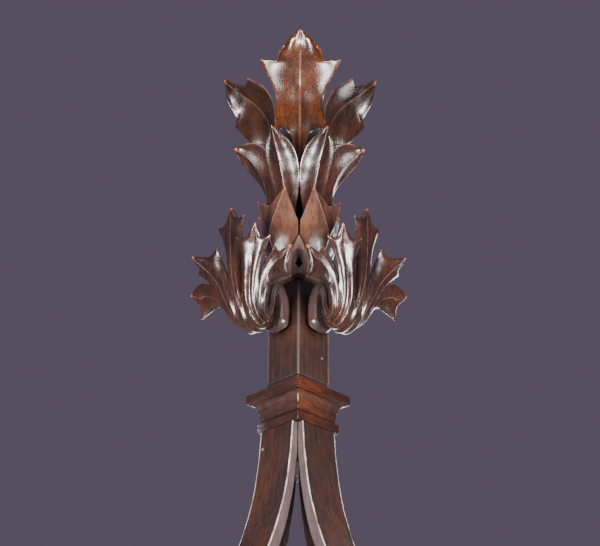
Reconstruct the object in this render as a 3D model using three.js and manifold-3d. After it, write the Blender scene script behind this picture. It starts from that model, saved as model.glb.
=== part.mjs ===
// Carved Gothic-Revival finial: four curved ribs carry a square post, a mitred collar, two scroll
// crockets and a crown of carved leaves. Millimetres, +Z up. While it is being built the post's axis is
// the Z axis and the rib feet stand at Z = 0; the last step moves the origin to the bottom centre of the
// whole object's bounding box. Front is -Y, and every carved piece is drawn in its own radial frame:
// X = distance out from the axis, Y = sideways, Z = height.

import * as THREE from 'three';
import { mergeVertices } from 'three/addons/utils/BufferGeometryUtils.js';
import Module from 'manifold-3d';

const wasm = await Module();
wasm.setup();

// ---- driving dimensions ----
const GAP = 0.3;                    // clearance left between glued pieces
const POST_SIDE = 50;               // square post
const POST_CHAMFER = 2.6;           // worn arris of the post
const POST_BOTTOM_Z = 146;
const RIB_TOP_Z = 189.6;
const COLLAR_TOP_Z = 234;
const CAPITAL_BOTTOM_Z = 371;
const CAPITAL_SHOULDER_Z = 404;
const CAPITAL_TOP_Z = 441;
const CAPITAL_HALF_DIAGONAL = 46;
const CAPITAL_NECK_HALF_DIAGONAL = 40;
const CORE_TOP_Z = 628;
const RIB_WIDTH = 50;
const COLLAR_TOP_HALF = 41.8;       // half the side of the collar's top fillet
const COLLAR_LIP_HALF = 37.5;       // where the cove ends under the step
const COLLAR_COVE_HALF = 29.2;
const COLLAR_FOOT_HALF = 32.75;
const COLLAR_FILLET = 10.5;         // height of the top and the lower fillet
const DOWEL_RADIUS = 8;
const SMALL_DOWEL_RADIUS = 3;       // crocket and rib dowels
const NAIL_RADIUS = 1.6;
const ROUND_STEPS = 14;             // sides of a dowel or nail
const CUT_REACH = 60;               // bores are cut out to this distance, past every face
const SPACE_TOP_Z = 800;            // above the whole object

// Angles about the post's axis, counted anticlockwise from +X.
const QUARTER = Math.PI / 2;
const EIGHTH = Math.PI / 4;
const FRONT = -QUARTER;
const FRONT_LEFT = FRONT - EIGHTH;

const COLOURS = {
  oak: { color: 0x2e1d14, roughness: 0.38, metalness: 0 },
  carved: { color: 0x3a2418, roughness: 0.3, metalness: 0 },
  nail: { color: 0x8a7a66, roughness: 0.45, metalness: 0.6 },
};

const group = new THREE.Group();

// ---- small tools for closed solids ----
function positionOnly(geometry) {
  const bare = geometry.clone();
  bare.deleteAttribute('normal');
  bare.deleteAttribute('uv');
  return mergeVertices(bare, 1e-4);
}

function toSolid(geometry) {
  const bare = positionOnly(geometry);
  const mesh = new wasm.Mesh({
    numProp: 3,
    vertProperties: new Float32Array(bare.attributes.position.array),
    triVerts: new Uint32Array(bare.index.array),
  });
  mesh.merge();
  return new wasm.Manifold(mesh);
}

function toGeometry(solid) {
  const mesh = solid.getMesh();
  const geometry = new THREE.BufferGeometry();
  geometry.setAttribute('position', new THREE.BufferAttribute(new Float32Array(mesh.vertProperties), 3));
  geometry.setIndex(new THREE.BufferAttribute(new Uint32Array(mesh.triVerts), 1));
  geometry.computeVertexNormals();
  return geometry;
}

function addPiece(name, geometry, finish, angle = 0) {
  const mesh = new THREE.Mesh(geometry, new THREE.MeshStandardMaterial(COLOURS[finish]));
  mesh.name = name;
  mesh.rotation.z = angle;
  group.add(mesh);
}

// A square prism about the axis; half is the distance from the axis to a flat side.
function squarePrism(half, bottom, top, chamfer = 0) {
  const shape = new THREE.Shape();
  const inner = half - chamfer;
  const corners = [[half, -inner], [half, inner], [inner, half], [-inner, half],
    [-half, inner], [-half, -inner], [-inner, -half], [inner, -half]];
  const used = chamfer > 0 ? corners : corners.filter((_, index) => index % 2 === 0);
  used.forEach(([x, y], index) => (index ? shape.lineTo(x, y) : shape.moveTo(x, y)));
  const prism = new THREE.ExtrudeGeometry(shape, { depth: top - bottom, bevelEnabled: false });
  return prism.translate(0, 0, bottom);
}

// A profile drawn as distance (x) against height (y), pushed sideways by width and centred on Y = 0.
function sidewaysPrism(shape, width, curveSegments = 10) {
  const prism = new THREE.ExtrudeGeometry(shape, { depth: width, bevelEnabled: false, curveSegments });
  return prism.translate(0, 0, -width / 2).rotateX(QUARTER);
}

// The sector of space that belongs to one of count equal pieces round the axis, less half the gap.
function sector(count, bottom, top) {
  const reach = 400;
  const half = Math.PI / count;
  const shape = new THREE.Shape();
  shape.moveTo(GAP / 2 / Math.sin(half), 0);
  shape.lineTo(reach, (reach - GAP / 2 / Math.sin(half)) * -Math.tan(half));
  shape.lineTo(reach, (reach - GAP / 2 / Math.sin(half)) * Math.tan(half));
  const wedge = new THREE.ExtrudeGeometry(shape, { depth: top - bottom, bevelEnabled: false });
  return toSolid(wedge.translate(0, 0, bottom));
}

function rod(radius, length) {
  return new THREE.CylinderGeometry(radius, radius, length, ROUND_STEPS);
}

function uprightRod(radius, bottom, top) {
  return rod(radius, top - bottom).rotateX(QUARTER).translate(0, 0, (bottom + top) / 2);
}

// A rod along the radial direction, from near to far out, at a sideways place and a height.
function radialRod(radius, near, far, sideways, height) {
  return rod(radius, far - near).rotateZ(QUARTER).translate((near + far) / 2, sideways, height);
}

// ---- carved leaves ----
// A leaf is a list of rows from root to tip: [left margin, midrib, right margin, breaks]. Where a row has
// breaks 'both', 'left' or 'right', the smooth run of those margins stops (a lobe tip or a notch).
const vectorOf = ([x, y, z]) => new THREE.Vector3(x, y, z);

function smoothRuns(points, corners) {
  const ends = [...new Set([0, ...corners, points.length - 1])];
  return ends.slice(1).map((end, index) => ({
    start: ends[index],
    end,
    curve: new THREE.CatmullRomCurve3(points.slice(ends[index], end + 1), false, 'catmullrom', 0.5),
  }));
}

function pointOnRuns(runs, place) {
  const run = runs.find((candidate) => place <= candidate.end) ?? runs[runs.length - 1];
  return run.curve.getPoint((place - run.start) / (run.end - run.start));
}

function leafSolid(rows, { steps = 1, columns = 3, thickness, hollow, edge = 1.2 }) {
  const breaksOn = (side) => rows.flatMap(([, , , breaks], index) => (
    breaks === 'both' || breaks === side ? [index] : []));
  const left = smoothRuns(rows.map((row) => vectorOf(row[0])), breaksOn('left'));
  const middle = smoothRuns(rows.map((row) => vectorOf(row[1])), []);
  const right = smoothRuns(rows.map((row) => vectorOf(row[2])), breaksOn('right'));
  const last = rows.length - 1;

  function sheet(place, across) {
    const margin = pointOnRuns(across < 0 ? left : right, place);
    return pointOnRuns(middle, place).lerp(margin, Math.abs(across));
  }

  function normalAt(place, across) {
    const row = THREE.MathUtils.clamp(place, 0.02, last - 0.12);
    const along = sheet(row + 0.01, across).sub(sheet(row - 0.01, across));
    const sideways = sheet(row, Math.min(across + 0.02, 1)).sub(sheet(row, Math.max(across - 0.02, -1)));
    return sideways.cross(along).normalize();
  }

  const geometry = new THREE.BoxGeometry(2, last, 1, columns * 2, last * steps, 1);
  const spot = new THREE.Vector3();
  const position = geometry.attributes.position;
  for (let index = 0; index < position.count; index += 1) {
    spot.fromBufferAttribute(position, index);
    const place = THREE.MathUtils.clamp(spot.y + last / 2, 0, last);
    const across = spot.x;
    const middleness = 1 - across * across;
    const grown = edge + (thickness(place / last) - edge) * middleness;
    const dish = hollow(place / last) * 4 * Math.abs(across) * (1 - Math.abs(across));
    const offset = spot.z > 0 ? grown / 2 - dish : -grown / 2 - dish * 0.6;
    const target = sheet(place, across).addScaledVector(normalAt(place, across), offset);
    position.setXYZ(index, target.x, target.y, target.z);
  }
  return toSolid(geometry);
}

// Rows of a leaf that is the same on both sides: [midrib distance, midrib height, right margin, breaks].
function mirroredRows(rows) {
  return rows.map(([distance, height, margin, breaks]) => {
    const [x, y, z] = margin;
    return [[x, -y, z], [distance, 0, height], margin, breaks];
  });
}

// The same leaf on the other side of its piece's middle plane.
function flippedRows(rows) {
  const flip = ([x, y, z]) => [x, -y, z];
  const otherSide = { left: 'right', right: 'left', both: 'both' };
  return rows.map(([left, mid, right, breaks]) => [flip(right), flip(mid), flip(left), otherSide[breaks]]);
}

const tapering = (root, tip) => (place) => root + (tip - root) * place;

// ---- post, with the bores for its dowels and nails ----
const CROCKET_DOWEL = { near: 12, far: 34, height: 334 };
const CAPITAL_DOWEL = { bottom: 343, top: 399 };
const RIB_DOWEL = { near: 15, far: 31, height: 172 };
const POST_PLUG = { sideways: 13.3, height: 278.5, near: 19, far: POST_SIDE / 2 + 0.3 };
const RIB_NAIL = { sideways: -19.5, height: 167, near: 20, far: 34.9 };

function turned(solid, angle) {
  return solid.rotate([0, 0, THREE.MathUtils.radToDeg(angle)]);
}

function makePost() {
  let post = toSolid(squarePrism(POST_SIDE / 2, POST_BOTTOM_Z, CAPITAL_BOTTOM_Z - GAP, POST_CHAMFER));
  post = post.subtract(toSolid(
    uprightRod(DOWEL_RADIUS + GAP, CAPITAL_DOWEL.bottom - GAP, CAPITAL_BOTTOM_Z + CUT_REACH)));
  const cut = (radius, { near, sideways = 0, height }, angle) => {
    const bore = radialRod(radius + GAP, near - GAP, CUT_REACH, sideways, height);
    post = post.subtract(turned(toSolid(bore), angle));
  };
  for (let side = 0; side < 4; side += 1) {
    cut(SMALL_DOWEL_RADIUS, RIB_DOWEL, side * QUARTER);
  }
  cut(SMALL_DOWEL_RADIUS, CROCKET_DOWEL, FRONT_LEFT - EIGHTH);
  cut(SMALL_DOWEL_RADIUS, CROCKET_DOWEL, FRONT_LEFT - EIGHTH + QUARTER);
  cut(NAIL_RADIUS, RIB_NAIL, FRONT_LEFT - EIGHTH);
  cut(NAIL_RADIUS, POST_PLUG, FRONT_LEFT - EIGHTH + QUARTER);
  return toGeometry(post);
}

addPiece('post', makePost(), 'oak', EIGHTH);
addPiece('post_plug', radialRod(NAIL_RADIUS, POST_PLUG.near, POST_PLUG.far, POST_PLUG.sideways,
  POST_PLUG.height), 'nail', FRONT + EIGHTH);

// ---- four ribs: boards that lie flat on the post and sweep outwards to level feet ----
const RIB_OUTER = [[32.4, RIB_TOP_Z - GAP], [36, 149], [44.4, 102], [63.6, 48], [90, 0]];
const RIB_INNER = [[75, 0], [49.2, 50], [34.6, 96], [26, 150]];

function makeRib(nailed) {
  const shape = new THREE.Shape();
  const flatPoint = ([x, y]) => new THREE.Vector2(x, y);
  shape.moveTo(...RIB_OUTER[0]);
  shape.splineThru(RIB_OUTER.slice(1).map(flatPoint));
  shape.lineTo(...RIB_INNER[0]);
  shape.splineThru(RIB_INNER.slice(1).map(flatPoint));
  shape.lineTo(POST_SIDE / 2 + GAP, RIB_TOP_Z - GAP);
  const dowel = radialRod(SMALL_DOWEL_RADIUS + GAP, 0, RIB_DOWEL.far + GAP, 0, RIB_DOWEL.height);
  const rib = toSolid(sidewaysPrism(shape, RIB_WIDTH, 3)).subtract(toSolid(dowel));
  const nail = radialRod(NAIL_RADIUS + GAP, 0, CUT_REACH, RIB_NAIL.sideways, RIB_NAIL.height);
  return toGeometry(nailed ? rib.subtract(toSolid(nail)) : rib);
}

// ---- four collar mouldings: fillet, undercut step, cove and foot fillet, mitred at the corners ----
function makeCollarMoulding() {
  const shape = new THREE.Shape();
  const back = POST_SIDE / 2 + GAP;
  const step = COLLAR_TOP_Z - COLLAR_FILLET;
  const foot = RIB_TOP_Z + COLLAR_FILLET;
  shape.moveTo(back, RIB_TOP_Z);
  shape.lineTo(COLLAR_FOOT_HALF, RIB_TOP_Z);
  shape.lineTo(COLLAR_FOOT_HALF, foot);
  shape.lineTo(COLLAR_COVE_HALF, foot);
  shape.quadraticCurveTo(COLLAR_COVE_HALF, step - 3, COLLAR_LIP_HALF, step - 1.2);
  shape.lineTo(COLLAR_TOP_HALF, step);
  shape.lineTo(COLLAR_TOP_HALF, COLLAR_TOP_Z);
  shape.lineTo(back, COLLAR_TOP_Z);
  const moulding = toSolid(sidewaysPrism(shape, 3 * COLLAR_TOP_HALF, 5));
  return toGeometry(moulding.intersect(sector(4, 0, SPACE_TOP_Z)));
}

const SIDES = ['front_left', 'front_right', 'back_right', 'back_left'];
SIDES.forEach((side, index) => {
  const angle = FRONT_LEFT + index * QUARTER;
  addPiece(`rib_${side}`, makeRib(side === 'front_left'), 'oak', angle);
  addPiece(`rib_dowel_${side}`, radialRod(SMALL_DOWEL_RADIUS, RIB_DOWEL.near, RIB_DOWEL.far, 0,
    RIB_DOWEL.height), 'oak', angle);
  addPiece(`collar_${side}`, makeCollarMoulding(), 'oak', angle);
});
addPiece('rib_nail', radialRod(NAIL_RADIUS, RIB_NAIL.near, RIB_NAIL.far, RIB_NAIL.sideways,
  RIB_NAIL.height), 'nail', FRONT_LEFT);

// ---- capital block: a square block with a narrower neck, its corners pierced by a diamond ----
const CORE_DOWEL = { bottom: 413, top: 469 };
const CAPITAL_ARRIS = 1.5;          // chamfer on the block's upright arrises
const DIAMOND = { side: 7, rise: 9.5, depth: 12, height: 385 };

function makeCapitalBlock() {
  const half = CAPITAL_HALF_DIAGONAL / Math.SQRT2;
  const neck = CAPITAL_NECK_HALF_DIAGONAL / Math.SQRT2;
  let block = toSolid(squarePrism(half, CAPITAL_BOTTOM_Z, CAPITAL_SHOULDER_Z, CAPITAL_ARRIS));
  block = block.add(toSolid(squarePrism(neck, CAPITAL_SHOULDER_Z - 1, CAPITAL_TOP_Z, CAPITAL_ARRIS)));
  block = block.subtract(toSolid(
    uprightRod(DOWEL_RADIUS + GAP, POST_BOTTOM_Z, CAPITAL_DOWEL.top + GAP)));
  block = block.subtract(toSolid(
    uprightRod(DOWEL_RADIUS + GAP, CORE_DOWEL.bottom - GAP, CAPITAL_TOP_Z + CUT_REACH)));
  for (let corner = 0; corner < 4; corner += 1) {
    const diamond = new THREE.BoxGeometry(2 * DIAMOND.depth, DIAMOND.side, DIAMOND.rise).rotateX(EIGHTH);
    diamond.translate(CAPITAL_HALF_DIAGONAL, 0, DIAMOND.height).rotateZ(EIGHTH + corner * QUARTER);
    block = block.subtract(toSolid(diamond));
  }
  return toGeometry(block);
}

addPiece('capital_block', makeCapitalBlock(), 'carved', EIGHTH);
addPiece('capital_dowel', uprightRod(DOWEL_RADIUS, CAPITAL_DOWEL.bottom, CAPITAL_DOWEL.top), 'oak');
addPiece('core_dowel', uprightRod(DOWEL_RADIUS, CORE_DOWEL.bottom, CORE_DOWEL.top), 'oak');

// ---- bud core: a turned spindle that the crown leaves are glued to ----
// Radius and height up the spindle.
const CORE_PROFILE = [[28, CAPITAL_TOP_Z + GAP], [29, 470], [26, 487], [17, 505], [13, 535], [12, 560],
  [11.5, 600], [8, CORE_TOP_Z]];

function coreSolid(extra) {
  const outline = CORE_PROFILE.map(([radius, height]) => new THREE.Vector2(radius + extra, height));
  outline[0].y -= extra;
  outline[outline.length - 1].y += extra;
  const points = [new THREE.Vector2(0, outline[0].y), ...outline,
    new THREE.Vector2(0, outline[outline.length - 1].y)];
  return toSolid(new THREE.LatheGeometry(points, 16).rotateX(QUARTER));
}

const coreRoom = coreSolid(GAP);
const coreBore = toSolid(uprightRod(DOWEL_RADIUS + GAP, CAPITAL_SHOULDER_Z, CORE_DOWEL.top + GAP));
addPiece('bud_core', toGeometry(coreSolid(0).subtract(coreBore)), 'carved');

// ---- four top leaves: a pointed middle lobe and two shoulder lobes on a slender stem ----
// Midrib as [distance, height]; every margin point is beside the midrib point of the same number.
const TOP_MIDRIB = [[18, 506], [17.5, 535], [21, 562], [25.5, 584], [31, 601], [38, 621], [48, 641],
  [60, 655], [67, 661], [80, 672], [92, 682], [99.8, 691]];
const STEM_MARGIN = [[17, 3.4, 506], [17, 4, 535], [20.5, 7, 565], [25, 14, 588]];
const EVEN_MARGIN = [[31.2, 30.9, 598], [38, 29, 622], [51, 33, 638], [80, 50, 658.8], [73.2, 28.5, 661.3],
  [88.5, 24, 667.8], [94.5, 13, 681.3], [99.3, 0.5, 690.6]];
// On the two side leaves the front half faces forward and the rear half droops.
const FACING_MARGIN = [[31, 31, 599], [34, 35, 622], [45, 42, 642], [67, 49, 653], [71, 26, 658],
  [81, 16, 669], [92, 8, 681], [99.3, 0.5, 690.6]];
const DROOPING_MARGIN = [[33, 29, 597], [47.6, 26, 604], [65, 30, 612], [86, 35, 641], [82.3, 21, 644],
  [89, 17, 653], [96.3, 10, 667], [99.6, 0.5, 690.4]];
const TOP_BREAKS = [4, 7, 8];       // foot of the blade, shoulder tip, notch

function makeTopLeaf(leftMargin, rightMargin) {
  const left = [...STEM_MARGIN, ...leftMargin];
  const right = [...STEM_MARGIN, ...rightMargin];
  const rows = TOP_MIDRIB.map(([distance, height], index) => {
    const [x, y, z] = left[index];
    return [[x, -y, z], [distance, 0, height], right[index], TOP_BREAKS.includes(index) ? 'both' : ''];
  });
  const leaf = leafSolid(rows, { thickness: tapering(8, 4), hollow: () => 1.6, edge: 2.4 });
  return toGeometry(leaf.intersect(sector(4, 0, SPACE_TOP_Z)).subtract(coreRoom));
}

addPiece('top_leaf_front', makeTopLeaf(EVEN_MARGIN, EVEN_MARGIN), 'carved', FRONT);
addPiece('top_leaf_right', makeTopLeaf(FACING_MARGIN, DROOPING_MARGIN), 'carved', FRONT + QUARTER);
addPiece('top_leaf_back', makeTopLeaf(EVEN_MARGIN, EVEN_MARGIN), 'carved', FRONT + 2 * QUARTER);
addPiece('top_leaf_left', makeTopLeaf(DROOPING_MARGIN, FACING_MARGIN), 'carved', FRONT - QUARTER);

// ---- six narrow leaves round the bud, each with a sharp midrib: four spread at the front and sides,
// two shorter ones stand closer to the bud at the back ----
// The left one of the two front leaves; its inner half is the narrower one at the root.
const FRONT_LEAF = [
  [[31.5, -12, 448], [36, 0, 448], [28, 7.5, 450]],
  [[33.5, -13.5, 468], [38.5, 0, 468], [29, 8, 471]],
  [[39, -15.5, 488], [44.5, 0, 489], [34, 12.5, 492]],
  [[50.5, -18.5, 514], [57, 0, 512], [45.5, 18, 517]],
  [[69.5, -16.5, 536], [74, 0, 533], [65, 16, 538.5]],
  [[88, -0.5, 553.8], [88.5, 0, 554.5], [88, 0.5, 553.8]],
];
// The left one of the two side leaves, which rises close to the bud before it bends out.
const SIDE_LEAF = [
  [[31.5, -12, 448], [36, 0, 448], [31.5, 12, 448]],
  [[33, -13.5, 468], [37.5, 0, 468], [33.5, 15, 468.5]],
  [[37, -15, 486], [39, 0, 487], [37.5, 18, 491]],
  [[38.5, -15.5, 506], [42.5, 0, 508], [42.3, 21.5, 516]],
  [[49, -17, 526], [52, 0, 529], [51.5, 23.5, 540]],
  [[63, -17, 539], [67, 0, 545], [64.5, 23, 552]],
  [[76, -11, 547], [78, 0, 551], [77, 14, 554.5]],
  [[87, -0.5, 554], [87.5, 0, 554.5], [87, 0.5, 555]],
];
const REAR_LEAF = mirroredRows([
  [36, 448, [31.5, 14, 448]],
  [38.5, 468, [33.5, 16, 468]],
  [42, 485, [38, 17, 485]],
  [49, 504, [46, 14, 503]],
  [60, 526, [59.4, 0.7, 525.3]],
]);

function makeNarrowLeaf(rows, sectors) {
  const cut = { steps: 2, columns: 2, thickness: tapering(12, 3), hollow: () => 1, edge: 2 };
  const leaf = leafSolid(rows, cut);
  return toGeometry(leaf.intersect(sector(sectors, 0, SPACE_TOP_Z)).subtract(coreRoom));
}

[
  ['left_side', FRONT - 1.5 * EIGHTH, SIDE_LEAF, 8],
  ['left_front', FRONT - 0.5 * EIGHTH, FRONT_LEAF, 8],
  ['right_front', FRONT + 0.5 * EIGHTH, flippedRows(FRONT_LEAF), 8],
  ['right_side', FRONT + 1.5 * EIGHTH, flippedRows(SIDE_LEAF), 8],
  ['right_back', EIGHTH, REAR_LEAF, 4],
  ['left_back', 3 * EIGHTH, REAR_LEAF, 4],
].forEach(([side, angle, rows, sectors]) => {
  addPiece(`narrow_leaf_${side}`, makeNarrowLeaf(rows, sectors), 'carved', angle);
});

// ---- four calyx leaves: forked leaves that wrap a corner of the bud, with a heel on the block ----
const CALYX = {
  halfAngle: THREE.MathUtils.degToRad(43),
  forkAngle: THREE.MathUtils.degToRad(26.6),
  bowlZ: 400,                       // where the bowl would start to swell
  bowlRise: 40,                     // height over which it swells
  bowlRadius: 38,
  bowlSwell: 14.5,
  lowestZ: 402,                     // foot of the middle
  cornerRise: 24,                   // how much higher the foot is at the corners
  rootZ: 425,                       // where the two ridges part
  tipZ: 487,
  notchZ: 469,
  cornerZ: 443,                     // where the margin ends at a corner
  heel: { near: 28, far: 40, width: 16, bottom: 417, top: 434 },
};

function calyxTop(turn) {
  const { halfAngle, forkAngle, tipZ, notchZ, cornerZ } = CALYX;
  const off = Math.abs(turn);
  if (off < forkAngle) {
    return notchZ + (tipZ - notchZ) * (off / forkAngle) ** 1.3;
  }
  return tipZ - (tipZ - cornerZ) * ((off - forkAngle) / (halfAngle - forkAngle)) ** 0.8;
}

function calyxBottom(turn) {
  return CALYX.lowestZ + CALYX.cornerRise * (Math.abs(turn) / CALYX.halfAngle) ** 2.2;
}

function calyxRadius(turn, height) {
  const rise = THREE.MathUtils.clamp((height - CALYX.rootZ) / (CALYX.tipZ - CALYX.rootZ), 0, 1);
  const swell = THREE.MathUtils.clamp((height - CALYX.bowlZ) / CALYX.bowlRise, 0, 1);
  const ridge = CALYX.forkAngle * rise;
  const off = Math.abs(turn);
  const onRidge = CALYX.bowlRadius + CALYX.bowlSwell * Math.sin(swell * QUARTER) + rise;
  if (off < ridge) {
    return onRidge - 4.6 * (ridge - off) / CALYX.forkAngle;
  }
  return onRidge - 8.5 * (off - ridge) / (CALYX.halfAngle - ridge);
}

function makeCalyxLeaf() {
  const geometry = new THREE.BoxGeometry(2, 1, 1, 14, 8, 1);
  const position = geometry.attributes.position;
  for (let index = 0; index < position.count; index += 1) {
    const turn = position.getX(index) * CALYX.halfAngle;
    const rise = position.getY(index) + 0.5;
    const height = THREE.MathUtils.lerp(calyxBottom(turn), calyxTop(turn), rise);
    const wall = 5.5 - 3 * rise;
    const radius = calyxRadius(turn, height) - (position.getZ(index) > 0 ? 0 : wall);
    position.setXYZ(index, radius * Math.cos(turn), radius * Math.sin(turn), height);
  }
  const { near, far, width, bottom, top } = CALYX.heel;
  const heel = new THREE.BoxGeometry(far - near, width, top - bottom);
  heel.translate((near + far) / 2, 0, (bottom + top) / 2);
  const neck = CAPITAL_NECK_HALF_DIAGONAL / Math.SQRT2 + GAP;
  const blockRoom = toSolid(squarePrism(neck, CAPITAL_SHOULDER_Z, CAPITAL_TOP_Z + 20));
  const shoulder = CAPITAL_HALF_DIAGONAL / Math.SQRT2 + GAP;
  const shoulderRoom = toSolid(squarePrism(shoulder, CAPITAL_BOTTOM_Z, CAPITAL_SHOULDER_Z + GAP));
  return toGeometry(toSolid(geometry).add(toSolid(heel)).subtract(blockRoom).subtract(shoulderRoom));
}

SIDES.forEach((side, index) => {
  addPiece(`calyx_leaf_${side}`, makeCalyxLeaf(), 'carved', FRONT_LEFT + index * QUARTER);
});

// ---- two crockets: a strap that hooks over, turns under and opens into five leaf lobes ----
// Middle line of the strap as [distance, half thickness, height], knob first.
const STRAP = [[37, 8.4, 305], [34.4, 8.6, 322], [34.6, 8.2, 341], [42, 6.6, 356], [50.8, 5, 343],
  [54, 4.2, 325], [57.5, 6.5, 312], [66, 10.5, 303], [78, 9.5, 305], [88, 7, 317], [95, 4, 336]];
const STRAP_HALF_WIDTH = 14.2;

// The strap is bent along its middle line, with rounded sides and a blunt knob.
function strapSolid() {
  const line = new THREE.CatmullRomCurve3(STRAP.map(vectorOf));
  const geometry = new THREE.BoxGeometry(2, 1, 2, 4, 30, 4);
  const position = geometry.attributes.position;
  for (let index = 0; index < position.count; index += 1) {
    const across = position.getX(index);
    const depth = position.getZ(index);
    const rise = position.getY(index) + 0.5;
    const centre = line.getPoint(rise);
    const tangent = line.getTangent(rise).setY(0).normalize();
    const knob = Math.sin(THREE.MathUtils.clamp(rise / 0.07 + 0.25, 0, 1) * QUARTER);
    const width = across * (0.35 + 0.65 * Math.sqrt(1 - depth * depth / 2));
    const offset = depth * (0.35 + 0.65 * Math.sqrt(1 - across * across / 2)) * centre.y * knob;
    position.setXYZ(index, centre.x + tangent.z * offset, width * STRAP_HALF_WIDTH * knob,
      centre.z - tangent.x * offset);
  }
  return toSolid(geometry);
}

const MIDDLE_LOBE = mirroredRows([
  [70, 302, [70, 4, 302]],
  [83, 307, [82.6, 5, 308]],
  [95, 324, [93.5, 7, 325]],
  [103, 351, [100.5, 9.5, 352]],
  [107, 385, [104, 12, 386]],
  [108.5, 405, [111, 21.5, 418], 'both'],
  [109, 414, [108.6, 12, 415.5], 'both'],
  [110, 437, [109.7, 0.6, 436.4]],
]);

const SIDE_LOBE = [
  [[68, 3, 300], [68, 9, 301], [67, 15, 304]],
  [[82, 5, 303], [79.5, 11, 305], [77, 17, 308]],
  [[94.5, 7.5, 320], [89.5, 15, 318], [84, 20.5, 315]],
  [[102.5, 13, 342], [96, 21, 335], [91, 28.5, 330]],
  [[106.5, 18, 361.5], [101, 28, 353], [97, 37, 352]],
  [[121, 22, 383], [108.5, 38, 369], [105.6, 61, 376], 'both'],
  [[115, 32, 379.5], [111, 42, 374], [108, 50.5, 375], 'both'],
  [[121, 52.2, 388.6], [121.4, 52.8, 389], [121, 53.4, 388.6]],
];

const LOW_LOBE = [
  [[66, 12, 301], [65, 15, 305], [64, 13, 311]],
  [[78.5, 17, 304], [76, 19.5, 308], [71, 17, 315]],
  [[86.5, 21, 315], [81.5, 26, 317], [75, 24, 323]],
  [[91.5, 28, 334], [86, 34, 330], [79.5, 33, 330]],
  [[95, 38.5, 352], [89.5, 44, 343], [83, 47, 335]],
  [[97.6, 60.4, 366], [91.5, 60, 351], [85.6, 73.4, 327], 'both'],
  [[95.5, 64, 358], [92, 68, 351], [88.5, 69.5, 342], 'both'],
  [[95.5, 82.6, 359.4], [95.2, 83.2, 359], [94.9, 83.2, 358.4]],
];

// Rows with some of their left margins moved; smooth lists the rows where that margin no longer breaks.
function withLeftMargins(rows, moved, smooth = []) {
  return rows.map(([left, mid, right, breaks], index) => (
    [moved[index] ?? left, mid, right, smooth.includes(index) ? 'right' : breaks]));
}

// The two lobes of a crocket's rear side: the upper one spreads wider, the lower one runs in one arc
// to its tip instead of a tooth.
const REAR_SIDE_LOBE = withLeftMargins(SIDE_LOBE, {
  2: [93, 5.5, 319],
  3: [99.5, 10, 344],
  4: [103, 14.5, 364],
  5: [116, 17, 387],
  6: [112, 29, 382],
});
const REAR_LOW_LOBE = withLeftMargins(LOW_LOBE, {
  4: [96.5, 43, 357],
  5: [99, 60, 365],
  6: [97.5, 73, 364],
}, [5, 6]);

function makeCrocket(rearLobes, frontLobes) {
  const lobe = { columns: 3, thickness: tapering(9, 3), hollow: tapering(-1.5, 0) };
  let crocket = strapSolid();
  for (const rows of [MIDDLE_LOBE, ...rearLobes, ...frontLobes]) {
    crocket = crocket.add(leafSolid(rows, lobe));
  }
  const capitalHalf = CAPITAL_HALF_DIAGONAL / Math.SQRT2 + GAP;
  crocket = crocket.intersect(sector(4, 0, SPACE_TOP_Z));
  crocket = crocket.subtract(toSolid(squarePrism(POST_SIDE / 2 + GAP, POST_BOTTOM_Z, CAPITAL_BOTTOM_Z)));
  crocket = crocket.subtract(toSolid(squarePrism(capitalHalf, CAPITAL_BOTTOM_Z - GAP, CAPITAL_TOP_Z)));
  const bore = radialRod(SMALL_DOWEL_RADIUS + GAP, 0, CROCKET_DOWEL.far + GAP, 0, CROCKET_DOWEL.height);
  return toGeometry(crocket.subtract(toSolid(bore)));
}

const REAR_LOBES = [REAR_SIDE_LOBE, REAR_LOW_LOBE];
const FRONT_LOBES = [SIDE_LOBE, LOW_LOBE];
addPiece('crocket_left', makeCrocket(REAR_LOBES.map(flippedRows), FRONT_LOBES), 'carved', FRONT_LEFT);
addPiece('crocket_right', makeCrocket(REAR_LOBES, FRONT_LOBES.map(flippedRows)), 'carved',
  FRONT_LEFT + QUARTER);
['left', 'right'].forEach((side, index) => {
  addPiece(`crocket_dowel_${side}`, radialRod(SMALL_DOWEL_RADIUS, CROCKET_DOWEL.near, CROCKET_DOWEL.far,
    0, CROCKET_DOWEL.height), 'oak', FRONT_LEFT + index * QUARTER);
});

// ---- origin at the bottom centre of the bounding box ----
group.updateMatrixWorld(true);
const bounds = new THREE.Box3().setFromObject(group, true);
group.position.set(-(bounds.min.x + bounds.max.x) / 2, -(bounds.min.y + bounds.max.y) / 2, -bounds.min.z);

export default group;
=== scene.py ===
"""Looks of the carved Gothic-Revival finial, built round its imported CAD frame.

Every carved piece is drawn in its own radial frame, in millimetres: X out from the post's axis,
Y sideways, Z height above the rib feet. place() turns it about the axis and moves it to the row frame.
"""
import math

import bpy
import numpy as np
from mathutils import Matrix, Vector, kdtree, noise


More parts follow.
